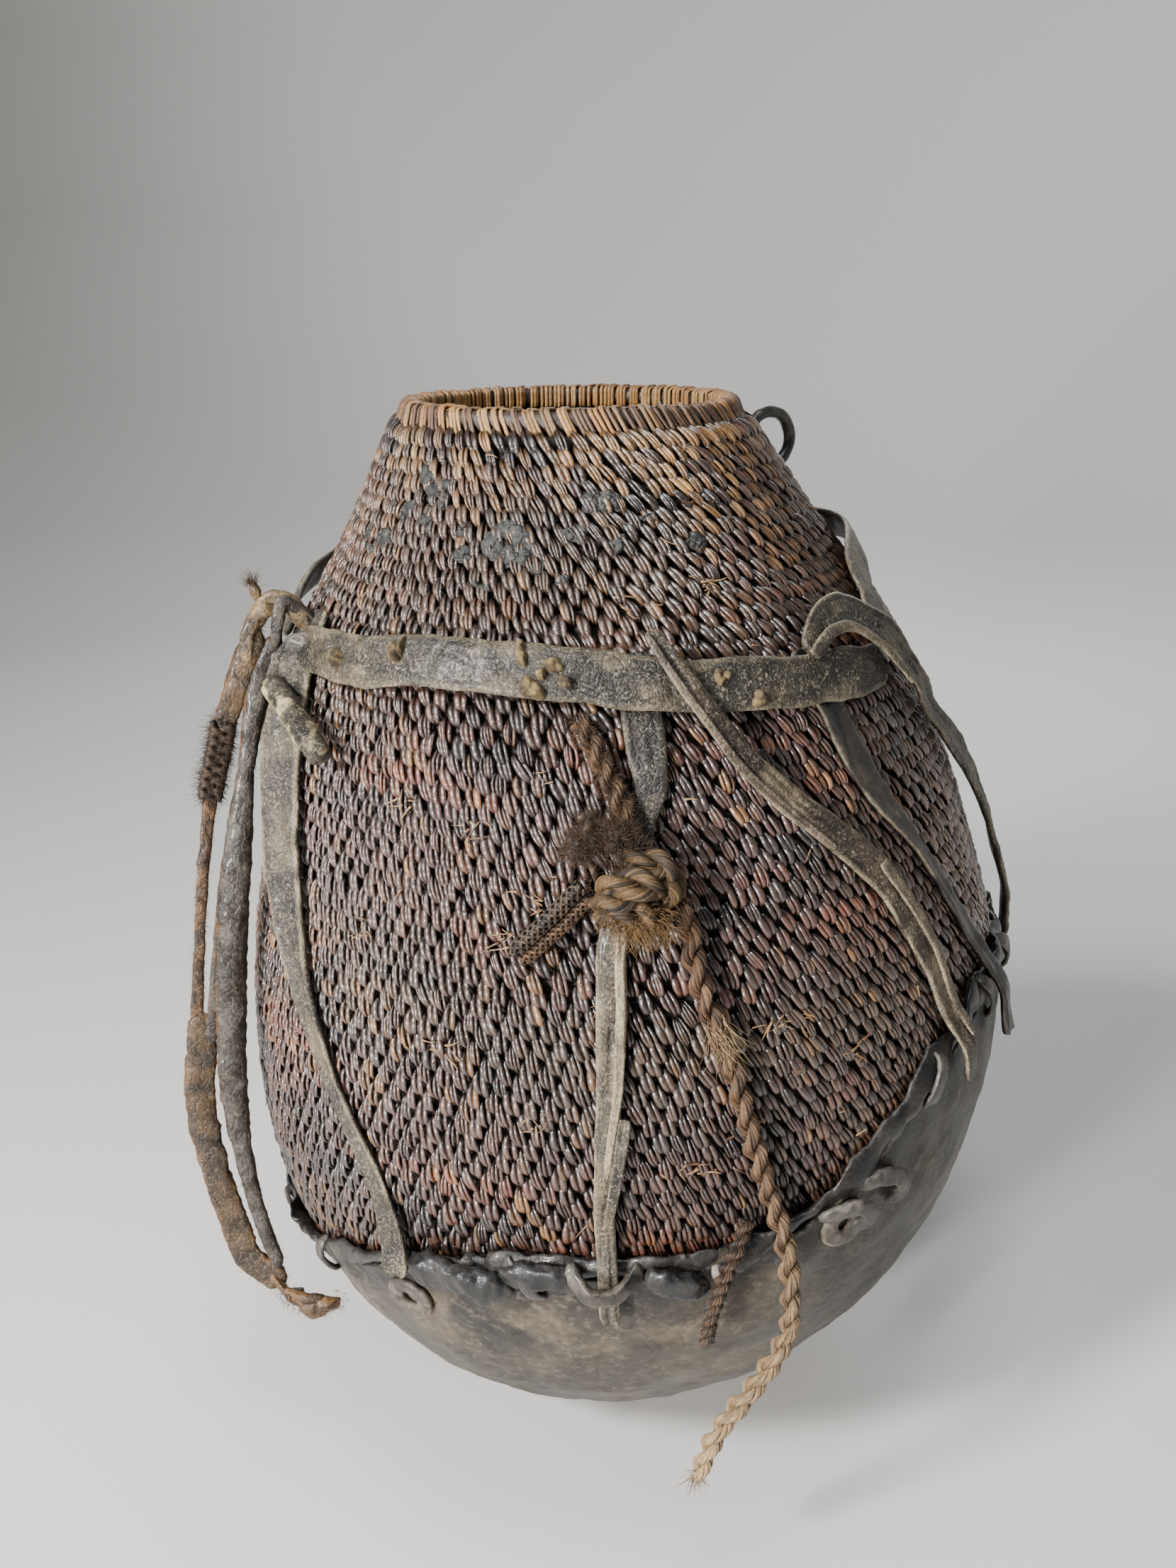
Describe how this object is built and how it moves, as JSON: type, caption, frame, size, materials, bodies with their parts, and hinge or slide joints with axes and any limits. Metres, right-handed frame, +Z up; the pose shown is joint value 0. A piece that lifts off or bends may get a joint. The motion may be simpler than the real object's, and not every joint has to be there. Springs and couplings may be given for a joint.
{
  "type": "coiled fibre vessel",
  "caption": "Egg-shaped coiled and stitched fibre vessel in a hide cup and leather strap harness, with a knotted rope, carrying strap and neck ring.",
  "frame": {"origin": "centre of the flat spot that the hide cup rests on", "axes": "+Z up along the vessel, -Y to the front where the rope hangs, +X to the right seen from the front"},
  "size_m": [0.2653, 0.2645, 0.332],
  "materials": {
    "weave": "stitched plant fibre, semi-gloss, dark purple brown with red and tan stitches",
    "pale_coil": "stitched straw, dry and matte",
    "pitch": "dried dark resin, satin",
    "hide": "raw hide, smooth, grey brown, dusty",
    "band_leather": "thick worn leather, dusty",
    "strap_leather": "worn leather strap with pale edges",
    "dark_leather": "dark greased leather",
    "worn_hide": "untanned strap with hair side out, brown",
    "mud": "dried mud, matte",
    "hair": "braided dark hair, fuzzy",
    "rope_fibre": "twisted sisal-like fibre"
  },
  "bodies": {
    "vessel": {"basket_wall": "weave", "rim_coil": "pale_coil", "pitch_patches": "pitch", "hide_cup": "hide", "cup_lacing": "dark_leather", "lace_loop": "dark_leather", "eyelet_tabs": "hide", "shoulder_band": "band_leather", "back_shoulder_strap": "band_leather", "centre_strap": "strap_leather", "left_wide_strap": "strap_leather", "left_loop_strap": "strap_leather", "diagonal_strap": "strap_leather", "second_right_strap": "dark_leather", "right_shoulder_strap": "strap_leather", "back_left_strap": "strap_leather", "back_centre_strap": "strap_leather", "back_right_strap": "strap_leather", "band_dabs": "mud", "hair_cord": "hair", "hair_tuft": "hair", "rope_knot": "rope_fibre", "rope_tail": "rope_fibre", "hair_thong": "hair", "neck_tab": "dark_leather", "ring_keeper": "dark_leather"},
    "carry_strap": {"carry_strap_inner": "worn_hide", "carry_strap_outer": "worn_hide", "carry_strap_knot": "worn_hide", "hair_binding": "hair", "carry_strap_foot": "worn_hide"},
    "toggle": {"toggle": "strap_leather"},
    "braided_loop": {"braided_loop": "hair"},
    "neck_ring": {"neck_ring": "dark_leather"}
  },
  "joints": [
    {"name": "carry_strap_swing", "type": "hinge", "parent": "vessel", "child": "carry_strap", "pos_m": [-0.086, -0.043, 0.277], "axis": [-0.0091, 0.1229, 0.9924], "range_deg": [-18, 6]},
    {"name": "toggle_swing", "type": "hinge", "parent": "vessel", "child": "toggle", "pos_m": [-0.0931, -0.048, 0.258], "axis": [-0.8315, -0.4237, 0.3594], "range_deg": [-28, 4]},
    {"name": "braid_swing", "type": "hinge", "parent": "vessel", "child": "braided_loop", "pos_m": [-0.0063, -0.1121, 0.2231], "axis": [-0.0885, -0.9537, 0.2873], "range_deg": [-15, 12]},
    {"name": "ring_swing", "type": "hinge", "parent": "vessel", "child": "neck_ring", "pos_m": [0.05026, 0.0365, 0.315], "axis": [-0.5446, 0.8387, 0], "range_deg": [-15, 15]}
  ]
}
